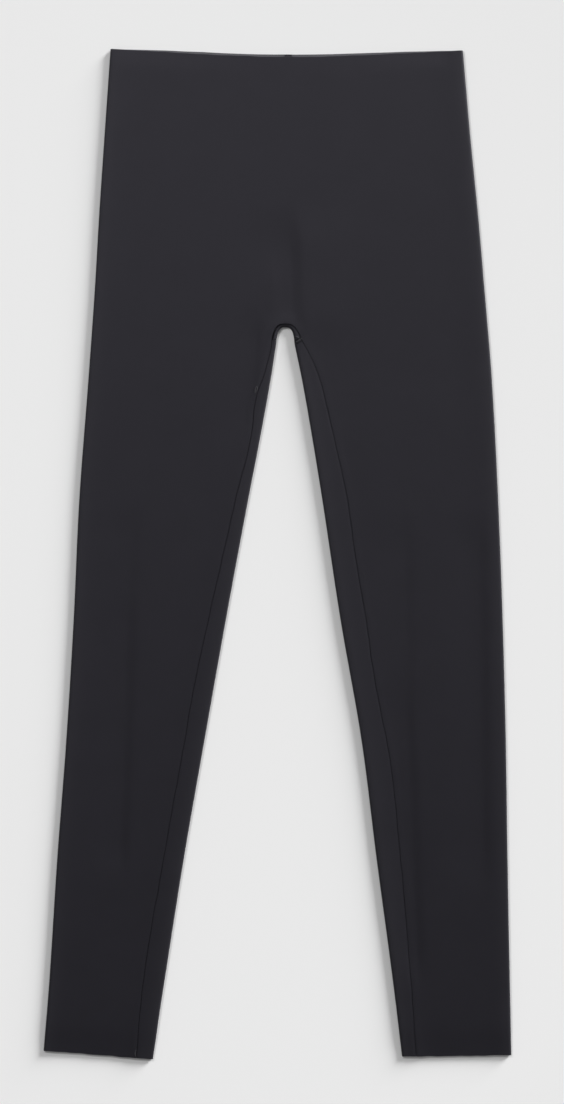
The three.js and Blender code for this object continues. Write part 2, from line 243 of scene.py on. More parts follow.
# Stitches and threads
STITCH_PITCH = 2.1
STITCH_LENGTH = 1.15
STITCH_SLANT = 0.35
STITCH_UNEVEN = 0.16
STITCH_SEED = 7
STITCH_SINK = 0.05
BACK_STITCH_INSET = 0.1
LEAF_STITCH_GAP = 1
LEAF_STITCH_TIP_GAP = 0.5
THREAD = 0.26
THREAD_SIDES = 6
THREAD_STEPS = 6
THREAD_TAPER = 0.5
THREAD_LIFT = 0.6


def smooth(t):
    t = np.clip(t, 0, 1)
    return t * t * (3 - 2 * t)


def along(table, column, y):
    """Value of a table's column at a height, along a smooth curve through its rows."""
    last = len(table) - 2
    index = 0
    while index < last and y < table[index + 1]["y"]:
        index += 1

    def slope(a, b):
        return (b[column] - a[column]) / (b["y"] - a["y"])

    start, end = table[index], table[index + 1]
    chord = slope(start, end)
    start_slope = (slope(table[index - 1], start) + chord) / 2 if index > 0 else chord
    end_slope = (slope(end, table[index + 2]) + chord) / 2 if index < last else chord
    span = end["y"] - start["y"]
    t = (y - start["y"]) / span
    t2, t3 = t * t, t * t * t
    return (
        start[column] * (2 * t3 - 3 * t2 + 1)
        + start_slope * span * (t3 - 2 * t2 + t)
        + end[column] * (3 * t2 - 2 * t3)
        + end_slope * span * (t3 - t2)
    )


def ripple(u, seed):
    """Sum of a few sines, from about -1 to 1, the same in each run."""
    random = np.random.default_rng(seed)
    total = np.zeros_like(np.asarray(u, float))
    for step in range(RIPPLE_SINES):
        total += np.sin(u * (1 + step * random.uniform(*RIPPLE_STEP)) + random.uniform(0, 2 * math.pi))
    return total / RIPPLE_SINES * RIPPLE_GAIN


def waves(form, u):
    """Small waves of a given height, length and seed."""
    height, length, seed = form
    return height * ripple(u / length, seed)


def half_arch(y, grow=0.0):
    """Half the width of the crotch arch at a height, or of a line outside it at the distance grow."""
    rise = max(0.0, (y - ARCH_BASE_Y) / (ARCH_HEIGHT + grow))
    rounding = max(0.0, 1 - rise**ARCH_SQUARENESS) ** (1 / ARCH_SQUARENESS)
    return (ARCH_HALF_WIDTH + grow) * rounding + ARCH_TAPER * (CROTCH_Y + grow - y)


def inner_edge(side, y):
    """Folded inner edge of a leg, which runs into the arch."""
    if y >= ARCH_BASE_Y:
        return CROTCH_X + SIGN[side] * half_arch(min(y, CROTCH_Y))
    return along(INNER_EDGES, side, y)


def front_seam(side, y, grow=0.0):
    """Seam line on the front, or a line beside it at the distance grow: round the arch, then down the leg."""
    sign = SIGN[side]
    if y >= INSEAMS[0]["y"]:
        top = CROTCH_Y + GUSSET_BAND + grow
        if y >= top:
            return CROTCH_X
        start = INSEAMS[0]
        widening = start[side] + half_arch(start["y"]) - half_arch(start["y"], GUSSET_BAND)
        half = half_arch(y, GUSSET_BAND + grow) + widening * smooth((top - y) / (top - start["y"]))
        return CROTCH_X + sign * half

    def seam(height):
        fade = smooth((INSEAMS[0]["y"] - height) / SEAM_WAVER_FADE)
        waver = SEAM_WAVER * fade * ripple(height / SEAM_WAVER_LENGTH, SEAM_WAVER_SEED + sign)
        return inner_edge(side, height) + sign * (along(INSEAMS, side, height) + waver)

    lean = (seam(y - SLOPE_STEP) - seam(y)) / SLOPE_STEP
    return seam(y) + sign * grow * math.hypot(1, lean)


def round_height(share, top, low):
    """Height of a point on a round top, from its top (0) to its low end (1), in even steps along its curve."""
    radius = top - ARCH_BASE_Y
    lowest = math.asin(((low - ARCH_BASE_Y) / radius) ** (ARCH_SQUARENESS / 2))
    angle = math.pi / 2 + (lowest - math.pi / 2) * share
    return ARCH_BASE_Y + radius * math.sin(angle) ** (2 / ARCH_SQUARENESS)


def half_leaf(y):
    """Half the width of the gusset's leaf on the back."""
    rise = min(1.0, max(0.0, (y - LEAF_Y) / LEAF_LENGTH))
    return LEAF_HALF_WIDTH * (1 - rise * rise)


def both_sides(line_x, arch_top, low_y):
    """A line from the left hem, round the crotch arch, to the right hem. line_x gives a side's x at a height."""
    legs = np.arange(ROWS_END_Y - LINE_OVERRUN, low_y, LINE_STEP)
    arch = [round_height(share, arch_top, low_y) for share in np.linspace(1, 0, LINE_ARCH_POINTS)]
    heights = [*legs, *arch]
    left = [(line_x("left", y), y) for y in heights]
    right = [(line_x("right", y), y) for y in heights]
    return np.array(left + right[-2::-1])


def line_distance(line, x, y):
    """Distance of points of one height from a line."""
    near = np.abs(line[:-1, 1] - y) < NEAR
    if not near.any():
        return np.full_like(x, NEAR)
    start, run = line[:-1][near], (line[1:] - line[:-1])[near]
    dx, dy = x[:, None] - start[:, 0], y - start[:, 1]
    share = np.clip((dx * run[:, 0] + dy * run[:, 1]) / (run**2).sum(axis=1), 0, 1)
    return np.hypot(dx - share * run[:, 0], dy - share * run[:, 1]).min(axis=1)


SEAM_LINE = both_sides(front_seam, CROTCH_Y + GUSSET_BAND, GUSSET_END_LOW_Y)
INNER_LINE = both_sides(inner_edge, CROTCH_Y, GUSSET_END_LOW_Y)


def crease_height(table, x, y):
    """Height that the creases of a table add, each with its own width to the left and to the right."""
    height = np.zeros_like(x)
    for crease in table:
        (x1, y1), (x2, y2) = crease["from"], crease["to"]
        length = math.hypot(x2 - x1, y2 - y1)
        run = ((x - x1) * (x2 - x1) + (y - y1) * (y2 - y1)) / length
        off = ((y - y1) * (x2 - x1) - (x - x1) * (y2 - y1)) / length
        width = np.where(off < 0, crease["left"], crease["right"])
        ends = smooth((run + CREASE_FADE) / CREASE_FADE) * smooth((length + CREASE_FADE - run) / CREASE_FADE)
        height += crease["height"] * ends * np.exp(-((off / width) ** 2))
    return height


def seam_form(off, y):
    """Height that a seam adds at a distance from its cut edge: a groove, with a soft ridge beside it."""
    ridge = SEAM_RIDGE_HEIGHT * (1 + waves(SEAM_RIDGE_WAVES, y))
    groove = SEAM_ROLL_DEPTH * (1 + waves(SEAM_ROLL_WAVES, y)) * np.exp(-((off / SEAM_ROLL_WIDTH) ** 2))
    return ridge * np.exp(-(((off - SEAM_RIDGE_OFF) / SEAM_RIDGE_WIDTH) ** 2)) - groove


def hem_settle(y):
    """How far the front and its folds sink towards the back at the hems."""
    return HEM_SETTLE_DEPTH * smooth((ROWS_END_Y + HEM_SETTLE_FADE - y) / HEM_SETTLE_FADE)


def edge_distances(x, y):
    """How far points lie from the roll at the outer edge, and from the one at the inner edge or the arch."""
    outer_x = np.where(x < CROTCH_X, along(SIDES, "left", y), along(SIDES, "right", y))
    outer = np.abs(outer_x - x) - FOLD_INSET
    inner = np.maximum(0, line_distance(INNER_LINE, x, y) - FOLD_INSET)
    return outer, inner


def waist_share(x):
    """Place across the waist, from 0 at its left corner to 1 at its right one."""
    return (x - SIDES[0]["left"]) / (SIDES[0]["right"] - SIDES[0]["left"])


def back_mid(x, y):
    """Height of the middle of the back layer, which lies on the floor and only lifts at its seams and creases."""
    x = np.asarray(x, float)
    half = half_leaf(y) if y < LEAF_TIP_Y else 0.0
    off = np.maximum(0, np.abs(np.abs(x - CROTCH_X) - half) - SEAM_GAP / 2)
    lift = SEAM_ROLL_DEPTH * np.exp(-((off / SEAM_ROLL_WIDTH) ** 2)) if y > GUSSET_END_TOP_Y else 0.0
    outer, inner = edge_distances(x, y)
    calm = smooth(outer / ROLL_FADE) * smooth(inner / ROLL_FADE)
    return BACK_MID + lift + crease_height(BACK_CREASES, x, y) * calm


def front_mid(x, y):
    """Height of the middle of the front layer, with its creases and the form beside the seams."""
    x = np.asarray(x, float)
    outer, inner = edge_distances(x, y)
    raised = np.exp(-((np.maximum(0, outer) / ROLL_FADE) ** 2)) + np.exp(-((inner / ROLL_FADE) ** 2))
    calm = smooth(outer / ROLL_FADE) * smooth(inner / ROLL_FADE)
    height = FRONT_EDGE_MID - FRONT_SAG * (1 - np.minimum(1, raised)) + crease_height(CREASES, x, y) * calm
    settle = smooth((y - WAIST_LEFT_Y + SETTLE_FADE) / SETTLE_FADE) * smooth(outer / ROLL_FADE)
    height = height - settle * (SETTLE_DEPTH - SETTLE_MIDDLE * np.sin(math.pi * waist_share(x)) ** 2)
    off = np.maximum(0, line_distance(SEAM_LINE, x, y) - SEAM_GAP / 2)
    hold = HEM_SEAM_HOLD * np.exp(-((off / HEM_SEAM_REACH) ** 2)) * smooth(inner / HEM_SEAM_REACH)
    height = height - hem_settle(y) * (1 - hold)
    return height + seam_form(off, y) * smooth(inner / FOLD_FADE)


def height_at(mid, x, y):
    """Height of the middle of a layer at one point."""
    return float(mid(np.array([x]), y)[0])


def cut_shift(side, x, y, front):
    """How far a section is shifted along the garment, to reach the cut edge of the waist or hem."""
    waist = float(smooth((y - (WAIST_LEFT_Y - WAIST_FADE)) / WAIST_FADE))
    hem = float(smooth((ROWS_END_Y + HEM_FADE - y) / HEM_FADE))
    shift = np.zeros_like(x)
    if waist > 0:
        across = waist_share(x)
        off_middle = np.abs(2 * across - 1)
        corner = WAIST_LEFT_Y + (WAIST_RIGHT_Y - WAIST_LEFT_Y) * across
        dip = WAIST_DIP * np.sin(math.pi * across) ** 2
        drop = FRONT_WAIST_DROP * front * (1 - off_middle**DROP_POWER)
        uneven = waves(WAIST_WAVES["front"], x) * front + waves(WAIST_WAVES["back"], x) * (1 - front)
        calm = 1 - off_middle**CORNER_POWER
        shift += waist * (corner - dip - drop - ROWS_START_Y) + waist**CUT_WAVES_POWER * uneven * calm
    if hem > 0:
        (x1, y1), (x2, y2) = HEM[side]["outer"], HEM[side]["inner"]
        edge = y2 + (x - x2) * (y1 - y2) / (x1 - x2)
        uneven = waves(HEM_WAVES["front"], x) * front + waves(HEM_WAVES["back"], x) * (1 - front)
        shift += hem * (edge - ROWS_END_Y) + hem**CUT_WAVES_POWER * uneven
    return shift


def shift_at(side, x, y, front):
    """Shift of one point towards the cut edge."""
    return float(cut_shift(side, np.array([x]), y, front)[0])


def row_heights():
    """Heights of the body's sections, closer together beside the arch and the gusset's ends."""
    arch = [FRONT_SEAM_TOP_Y]
    for step in range(1, ROW_STEPS["arch"]):
        y = round_height(step / ROW_STEPS["arch"], FRONT_SEAM_TOP_Y, GUSSET_END_TOP_Y)
        if y < arch[-1] - ARCH_ROW_STEP:
            arch.append(y)
    stretches = [
        np.linspace(ROWS_START_Y, LEAF_TIP_Y, ROW_STEPS["seat"], endpoint=False),
        np.linspace(LEAF_TIP_Y, FRONT_SEAM_TOP_Y, ROW_STEPS["leaf"], endpoint=False),
        arch,
        np.linspace(GUSSET_END_TOP_Y, GUSSET_END_LOW_Y, ROW_STEPS["gusset_end"], endpoint=False),
        np.linspace(GUSSET_END_LOW_Y, THIGH_Y, ROW_STEPS["thigh"], endpoint=False),
        np.linspace(THIGH_Y, ROWS_END_Y, ROW_STEPS["leg"] + 1),
    ]
    return [float(y) for stretch in stretches for y in stretch]


# A stretch of a section is an array with a row of x, z, normal x, normal z and share of the front per point
def layer_stretch(mid, x, y, up):
    """Stretch of the layer with the middle mid, whose outer face looks up (1) or down (-1)."""
    x = np.asarray(x, float)
    slope = (mid(x + SLOPE_STEP, y) - mid(x - SLOPE_STEP, y)) / (2 * SLOPE_STEP)
    length = np.hypot(slope, 1)
    return np.stack([x, mid(x, y), -up * slope / length, up / length, np.full_like(x, (1 + up) / 2)], axis=1)


def front_stretch(x, y):
    return layer_stretch(front_mid, x, y, 1)


def back_stretch(x, y):
    return layer_stretch(back_mid, x, y, -1)


def fold_stretch(edge, outward, angle, y):
    """Stretch round a folded edge, from the front (angle 0) to the back (half a turn)."""
    angle = np.asarray(angle, float)
    nx, nz = outward * np.sin(angle), np.cos(angle)
    x = edge - outward * FOLD_INSET + FOLD_RADIUS * nx
    z = BACK_MID + (FOLD_RADIUS - hem_settle(y) / 2) * (1 + nz)
    return np.stack([x, z, nx, nz, (1 + nz) / 2], axis=1)


def inner_loop(side, y, distances):
    """Points near a leg's inner edge, by their distance round the wall from the edge: minus on the back."""
    edge, outward = inner_edge(side, y), -SIGN[side]
    rows = []
    for distance in distances:
        beyond = abs(distance) - QUARTER_ROLL
        x = edge - outward * (FOLD_INSET + beyond)
        if beyond <= 0:
            rows.append(fold_stretch(edge, outward, [math.pi / 2 - distance / FOLD_RADIUS], y))
        elif distance > 0:
            rows.append(front_stretch([x], y))
        else:
            rows.append(back_stretch([x], y))
    return np.concatenate(rows)


def back_end(side, y):
    """Where the back ends, as a distance round the inner edge of the leg."""
    at_leaf = -(QUARTER_ROLL + half_leaf(y) + SEAM_GAP - half_arch(y) - FOLD_INSET)
    at_seam = QUARTER_ROLL + abs(front_seam(side, y, -SEAM_GAP / 2) - inner_edge(side, y)) - FOLD_INSET
    turn = (GUSSET_END_TOP_Y - y) / (GUSSET_END_TOP_Y - GUSSET_END_LOW_Y)
    return at_leaf + (at_seam - at_leaf) * min(1.0, max(0.0, turn))


def close_to_end(count):
    """Shares from 0 to 1 that lie closer together towards 1."""
    return 1 - (1 - np.linspace(0, 1, count + 1)) ** END_CROWDING


def tail_stretch(side, y):
    """Last stretch of the back: flat to the centre back or the gusset, or round the inner edge."""
    count = COLUMNS["tail"]
    if y > GUSSET_END_TOP_Y:
        end = half_leaf(y) + SEAM_GAP if y < LEAF_TIP_Y else SEAM_GAP / 2
        return back_stretch(CROTCH_X + SIGN[side] * (end + TAIL_LENGTH * (1 - close_to_end(count))), y)
    end = back_end(side, y)
    start = -(QUARTER_ROLL + TAIL_LENGTH)
    settled_end = max(end, back_end(side, GUSSET_END_LOW_Y))
    squeeze = (end - start) / (settled_end - start)
    fold_steps = count - 1 - COLUMNS["strip"]
    distances = np.concatenate([
        [start],
        np.linspace(-QUARTER_ROLL, QUARTER_ROLL, fold_steps + 1),
        QUARTER_ROLL + (settled_end - QUARTER_ROLL) * close_to_end(COLUMNS["strip"])[1:],
    ])
    return inner_loop(side, y, start + (distances - start) * squeeze)


def section(side, y):
    """A whole section of one half, from the front seam or the centre front round to the end of the back."""
    sign = SIGN[side]
    outer = along(SIDES, side, y)
    start = front_seam(side, y, SEAM_GAP / 2)
    front_end = outer - sign * FOLD_INSET
    near_end = along(INNER_EDGES, side, min(y, ARCH_BASE_Y)) + sign * NEAR_WIDTH
    near = start + (near_end - start) * np.linspace(0, 1, COLUMNS["near"], endpoint=False) ** NEAR_CROWDING
    tail = tail_stretch(side, y)
    back_shares = np.linspace(0, 1, COLUMNS["back"] + 1)[1:-1]
    return np.concatenate([
        front_stretch(np.concatenate([near, np.linspace(near_end, front_end, COLUMNS["front"], endpoint=False)]), y),
        fold_stretch(outer, sign, np.linspace(0, math.pi, COLUMNS["outer_fold"] + 1), y),
        back_stretch(front_end + (tail[0, 0] - front_end) * back_shares, y),
        tail,
    ])


def new_object(name, data):
    piece = bpy.data.objects.new(name, data)
    bpy.context.scene.collection.objects.link(piece)
    return piece


# How far each face of the wall shows the lighter inner side of the knit. The cut edges' share is a painted highlight,
# for the light that catches them.
OUTER_FACE, SEAM_EDGE, CUT_EDGE_HIGHLIGHT, INNER_FACE = 0, 0.02, 0.3, 1
CUT_EDGE_ROUND = 0.3
EDGE_ANGLES = (math.pi / 4, math.pi / 2, 3 * math.pi / 4)
MERGE_DISTANCE = 2e-6


class Wall:
    """A wall of cloth made from grids of its middle points and normals, with its cut edges."""

    def __init__(self, thick=CLOTH):
        self.half = thick / 2
        self.points, self.flat = [], []
        self.faces, self.inside = [], []

    def put(self, points, uv):
        """Adds points with their places on the flat cloth and their share of painted sheen, and returns their
        numbers.
        """
        first = len(self.points)
        self.points.extend(points.reshape(-1, 3))
        self.flat.extend(uv.reshape(-1, 3))
        return first + np.arange(len(self.points) - first).reshape(points.shape[:-1])

    def strip(self, a, b, inside):
        """Faces between two lines of point numbers. Inside is 0 on the outer face of the cloth and 1 on the inner."""
        self.faces.extend(np.stack([a[:-1], b[:-1], b[1:], a[1:]], axis=1).tolist())
        self.inside.extend([inside] * (len(a) - 1))

    def seam_edge(self, outer, inner):
        """A plain edge inside a seam."""
        self.strip(outer, inner, SEAM_EDGE)

    def cut_edge(self, outer, inner, middle, normal, away, uv, starts_whole):
        """A softly rounded cut edge from the outer face's line to the inner one's, which fades out at a seam."""
        away = away / np.linalg.norm(away, axis=1, keepdims=True)
        bulge = np.full(len(away), CUT_EDGE_ROUND)
        bulge[-1] = 0
        if not starts_whole:
            bulge[0] = 0
        lines = [outer]
        for angle in EDGE_ANGLES:
            reach = (bulge * math.sin(angle))[:, None] * away
            share = math.cos(angle) * self.half
            lines.append(self.put(middle + normal * share + reach, uv))
        lines.append(inner)
        # The cut edge is painted a little lighter: a painted highlight
        for a, b in zip(lines[:-1], lines[1:]):
            self.strip(a, b, CUT_EDGE_HIGHLIGHT)

    def add(self, middle, normal, uv, first_column_cut_from=0, ends_in_seams=False):
        """Adds a grid. Its first and last rows are cut edges or lie in seams, and its columns end in seams."""
        outer = self.put(middle + normal * self.half, uv)
        inner = self.put(middle - normal * self.half, uv)
        for row in range(len(middle) - 1):
            self.strip(outer[row], outer[row + 1], OUTER_FACE)
            self.strip(inner[row + 1], inner[row], INNER_FACE)
        for line, after in ((0, 1), (-1, -2)):
            if ends_in_seams:
                self.seam_edge(outer[line], inner[line])
            else:
                away = middle[line] - middle[after]
                whole = line == 0 and first_column_cut_from > 0
                self.cut_edge(outer[line], inner[line], middle[line], normal[line], away, uv[line], whole)
        self.seam_edge(outer[first_column_cut_from:, 0], inner[first_column_cut_from:, 0])
        self.seam_edge(outer[:, -1], inner[:, -1])

    def build(self, name):
        mesh = bpy.data.meshes.new(name)
        mesh.from_pydata((np.array(self.points) * MM).tolist(), [], self.faces)
        corners = np.array([loop.vertex_index for loop in mesh.loops])
        layer = mesh.uv_layers.new(name="cloth_mm")
        flat = np.array(self.flat, np.float32)
        layer.data.foreach_set("uv", flat[corners, :2].ravel())
        # The painted sheen beside the folded edges, kept on each point
        mesh.attributes.new("edge_sheen", "FLOAT", "POINT").data.foreach_set("value", flat[:, 2])
        inside = np.array(self.inside, np.float32)
        flag = mesh.attributes.new("inside", "FLOAT", "FACE")
        flag.data.foreach_set("value", inside)
        mesh.polygons.foreach_set("use_smooth", (inside == OUTER_FACE) | (inside == INNER_FACE))
        form = bmesh.new()
        form.from_mesh(mesh)
        bmesh.ops.remove_doubles(form, verts=form.verts, dist=MERGE_DISTANCE)
        bmesh.ops.recalc_face_normals(form, faces=form.faces)
        if form.calc_volume(signed=True) < 0:
            bmesh.ops.reverse_faces(form, faces=form.faces)
        side = form.faces.layers.float["inside"]
        for edge in form.edges:
            edge.smooth = len({face[side] for face in edge.link_faces}) == 1
        form.to_mesh(mesh)
        form.free()
        return new_object(name, mesh)


def leg_lean(side, y):
    """How far the run of the knit has moved across by this height, as it follows the leg."""
    level = min(y, THIGH_Y)
    middle = (along(SIDES, side, level) + inner_edge(side, level)) / 2
    start = (along(SIDES, side, THIGH_Y) + inner_edge(side, THIGH_Y)) / 2
    return middle - start


def edge_sheen_share(side, x, y):
    """How much painted sheen the knit gets beside the folded edges: it is painted a little lighter there, which also
    lifts the shade beside the inner folds.
    """
    outer = np.exp(-(((x - along(SIDES, side, y)) / EDGE_SHEEN_WIDTH) ** 2))
    inner = np.exp(-(((x - inner_edge(side, y)) / EDGE_SHEEN_WIDTH) ** 2)) * smooth((ARCH_BASE_Y - y) / EDGE_SHEEN_FADE)
    return np.maximum(outer, inner)


def make_body():
    """The body, in two halves that meet at the centre front and end at the centre back and the inseams."""
    heights = row_heights()
    wall = Wall()
    crotch_row = heights.index(FRONT_SEAM_TOP_Y)
    for side in ("left", "right"):
        middle, normal, uv = [], [], []
        for y in heights:
            row = section(side, y)
            shift = cut_shift(side, row[:, 0], y, row[:, 4])
            zero = np.zeros(len(row))
            middle.append(np.stack([row[:, 0], y + shift, row[:, 1]], axis=1))
            normal.append(np.stack([row[:, 2], zero, row[:, 3]], axis=1))
            steps = np.hypot(np.diff(row[:, 0]), np.diff(row[:, 1]))
            travel = np.concatenate([[0], np.cumsum(steps)])
            fold = COLUMNS["near"] + COLUMNS["front"]
            round_section = row[fold, 0] + (travel - travel[fold]) * SIGN[side]
            # Painted sheen: the knit is painted a little lighter beside the folded edges
            edge_sheen = edge_sheen_share(side, row[:, 0], y)
            uv.append(np.stack([round_section - leg_lean(side, y), y + shift, edge_sheen], axis=1))
        wall.add(np.array(middle), np.array(normal), np.array(uv), crotch_row)
    return wall.build("body_cloth")


def make_gusset():
    """The gusset, in cross-sections from the seam on the front, round the arch, to the edge of the leaf."""
    fold_end_y = (GUSSET_END_TOP_Y + GUSSET_END_LOW_Y) / 2 + GUSSET_END_GAP

    def side_of(t):
        return "left" if t < 0.5 else "right"

    def drawn_back(t):
        """How far the gusset's front edge lies from the seam line: the seam gapes more at its left and top."""
        right = smooth((t - GUSSET_DRAW_START) / GUSSET_DRAW_SPAN)
        return SEAM_GAP / 2 + GUSSET_DRAW["left"] * (1 - right) + GUSSET_DRAW["right"] * right

    def arch_point(t):
        y = round_height(abs(2 * t - 1), CROTCH_Y, fold_end_y)
        return np.array([inner_edge(side_of(t), y), y])

    def band_point(t):
        draw = drawn_back(t)
        y = round_height(abs(2 * t - 1), CROTCH_Y + GUSSET_BAND - draw, GUSSET_END_LOW_Y + GUSSET_END_GAP)
        return np.array([front_seam(side_of(t), y, -draw), y])

    def leaf_point(t):
        start = GUSSET_END_TOP_Y + GUSSET_END_GAP
        y = start + (LEAF_TIP_Y - start) * (1 - abs(2 * t - 1))
        return np.array([CROTCH_X + SIGN[side_of(t)] * half_leaf(y), y])

    middle, normal, uv = [], [], []
    for t in np.linspace(0, 1, GUSSET_STEPS + 1):
        arch, seam, leaf = arch_point(t), band_point(t), leaf_point(t)
        run = arch_point(min(1, t + TANGENT_STEP)) - arch_point(max(0, t - TANGENT_STEP))
        out = np.array([run[1], -run[0]]) / np.linalg.norm(run)
        roll = arch - out * FOLD_INSET
        points, normals = [], []
        for share in np.linspace(0, 1, GUSSET_COLUMNS["front"], endpoint=False):
            x, y = seam + (roll - seam) * share
            points.append((x, y, height_at(front_mid, x, y)))
            normals.append((0, 0, 1))
        for angle in np.linspace(0, math.pi, GUSSET_COLUMNS["fold"] + 1):
            x, y = roll + out * FOLD_RADIUS * math.sin(angle)
            points.append((x, y, BACK_MID + FOLD_RADIUS * (1 + math.cos(angle))))
            normals.append((*(out * math.sin(angle)), math.cos(angle)))
        for share in close_to_end(GUSSET_COLUMNS["back"])[1:]:
            x, y = roll + (leaf - roll) * share
            points.append((x, y, height_at(back_mid, x, y)))
            normals.append((0, 0, -1))
        points = np.array(points)
        steps = np.linalg.norm(np.diff(points, axis=0), axis=1)
        middle.append(points)
        normal.append(np.array(normals))
        travel = np.concatenate([[0], np.cumsum(steps)])
        uv.append(np.stack([np.full(len(points), t * GUSSET_FLAT), travel, np.zeros(len(points))], axis=1))
    wall = Wall()
    wall.add(np.array(middle), np.array(normal), np.array(uv), ends_in_seams=True)
    return wall.build("gusset_cloth")


def allowance_grid(line, height, shift):
    """A narrow strip beside a line: its middle points, normals and flat places, with the line's right side last."""
    run = np.gradient(line, axis=0)
    right = np.stack([run[:, 1], -run[:, 0]], axis=1) / np.linalg.norm(run, axis=1, keepdims=True)
    travel = np.concatenate([[0], np.cumsum(np.linalg.norm(np.diff(line, axis=0), axis=1))])
    rows, flat = [], []
    for place, out, far in zip(line, right, travel):
        row = []
        for off in np.linspace(-ALLOWANCE_WIDTH, ALLOWANCE_LAP, ALLOWANCE_COLUMNS):
            x, y = place + out * off
            row.append((x, y + shift(x, y), height(x, y)))
            flat.append((off, far, 0))
        rows.append(row)
    middle = np.array(rows)
    normal = np.zeros_like(middle) + (0, 0, 1)
    return middle, normal, np.array(flat).reshape(*middle.shape[:2], 3)


def make_allowances():
    """The sewn edges inside, which lie beside each seam and close it from within."""

    def under_front(x, y):
        return height_at(front_mid, x, y) - (CLOTH + ALLOWANCE) / 2 - ALLOWANCE_PLAY

    def on_back(x, y):
        return height_at(back_mid, x, y) + (CLOTH + ALLOWANCE) / 2 + ALLOWANCE_PLAY

    def shift(front):
        return lambda x, y: shift_at("left" if x < CROTCH_X else "right", x, y, front)

    heights = [y for y in row_heights() if y > GUSSET_END_TOP_Y + ALLOWANCE_START]
    leaf = [y for y in heights if y < LEAF_TIP_Y - ALLOWANCE_TIP_GAP]
    centre = np.array([(CROTCH_X, y) for y in heights if y > LEAF_TIP_Y + CENTRE_SEAM_GAP])
    edge = [(CROTCH_X - half_leaf(y), y) for y in leaf[::-1]] + [(CROTCH_X + half_leaf(y), y) for y in leaf]
    inside_legs = SEAM_LINE[SEAM_LINE[:, 1] > ROWS_END_Y + ALLOWANCE_SHORT]
    wall = Wall(ALLOWANCE)
    wall.add(*allowance_grid(inside_legs, under_front, shift(1.0)), ends_in_seams=True)
    for line in (centre, np.array(edge)):
        wall.add(*allowance_grid(line, on_back, shift(0.0)), ends_in_seams=True)
    return wall.build("seam_allowances")


# Materials. A Mix node for colours takes them in its inputs 6 and 7, and gives the result in output 2.
MIX_FIRST, MIX_SECOND, MIX_RESULT = 6, 7, 2


class Nodes:
    """Short ways to add nodes to a material and join them."""

    def __init__(self, name):
        self.material = bpy.data.materials.new(name)
        self.material.use_nodes = True
        self.tree = self.material.node_tree
        self.shader = self.tree.nodes["Principled BSDF"]

    def add(self, kind, settings=None, **inputs):
        node = self.tree.nodes.new(kind)
        for key, value in (settings or {}).items():
            setattr(node, key, value)
        for key, value in inputs.items():
            self.set(node, key.replace("_", " "), value)
        return node

    def set(self, node, key, value):
        socket = node.inputs[key]
        if isinstance(value, bpy.types.NodeSocket):
            self.tree.links.new(value, socket)
        else:
            socket.default_value = value

    def math(self, operation, first, second=0.0, third=0.0):
        node = self.tree.nodes.new("ShaderNodeMath")
        node.operation = operation
        for index, value in enumerate((first, second, third)):
            self.set(node, index, value)
        return node.outputs[0]

    def noise(self, vector, scale):
        node = self.add("ShaderNodeTexNoise", Vector=vector, Scale=scale, Detail=NOISE_DETAIL)
        return node.outputs["Fac"]

    def mix(self, share, first, second):
        node = self.add("ShaderNodeMix", {"data_type": "RGBA"})
        self.set(node, "Factor", share)
        self.set(node, MIX_FIRST, first)
        self.set(node, MIX_SECOND, second)
        return node.outputs[MIX_RESULT]

    def finish(self, colour, relief, strength, distance):
        """Joins the colour and the relief, with its strength and height in metres, to the shader."""
        bump = self.add("ShaderNodeBump", Strength=strength, Distance=distance, Height=relief)
        self.set(self.shader, "Base Color", colour)
        self.set(self.shader, "Normal", bump.outputs["Normal"])

    def sockets(self, **values):
        """Sets plain numbers and colours on the shader's own sockets."""
        for key, value in values.items():
            self.shader.inputs[key.replace("_", " ")].default_value = value
        return self.material


WALE = 0.62
COURSE = 0.48
LOOP_SLANT = 1.1
LOOP_RELIEF, RIB_RELIEF = 0.6, 0.4


def knit_height(nodes, u, v):
    """Height of a plain knit face: rows of small V shapes in upright ribs."""
    across = nodes.math("FRACT", nodes.math("DIVIDE", u, WALE))
    from_middle = nodes.math("ABSOLUTE", nodes.math("SUBTRACT", across, 0.5))
    rib = nodes.math("SINE", nodes.math("MULTIPLY", from_middle, 2 * math.pi))
    lifted = nodes.math("ADD", nodes.math("DIVIDE", v, COURSE), nodes.math("MULTIPLY", from_middle, LOOP_SLANT))
    loop = nodes.math("ABSOLUTE", nodes.math("SINE", nodes.math("MULTIPLY", lifted, math.pi)))
    return nodes.math("MULTIPLY", nodes.math("ADD", nodes.math("MULTIPLY", loop, LOOP_RELIEF), RIB_RELIEF), rib)


KNIT_DARK = (0.0021, 0.0020, 0.0036, 1)
KNIT_LIGHT = (0.0036, 0.0034, 0.0055, 1)
# The inner side of the knit is lighter, and this tone also holds a painted sheen, for the strip of it that shows at
# the waist
KNIT_INSIDE_AND_SHEEN = (0.085, 0.085, 0.090, 1)
KNIT_TINT = (0.88, 0.85, 1.0, 1)
# How much the painted sheen beside the folded edges lightens the knit
EDGE_SHEEN_LIGHT = 0.055
CLOUD_SCALE, CLOUD_SHARE = 0.035, 0.55
FIBRE_SCALE, FIBRE_SHARE = 2.6, 0.45
FIBRE_RELIEF = 0.5
NOISE_DETAIL = 3.0
TONE_FROM, TONE_TO = 0.3, 0.7


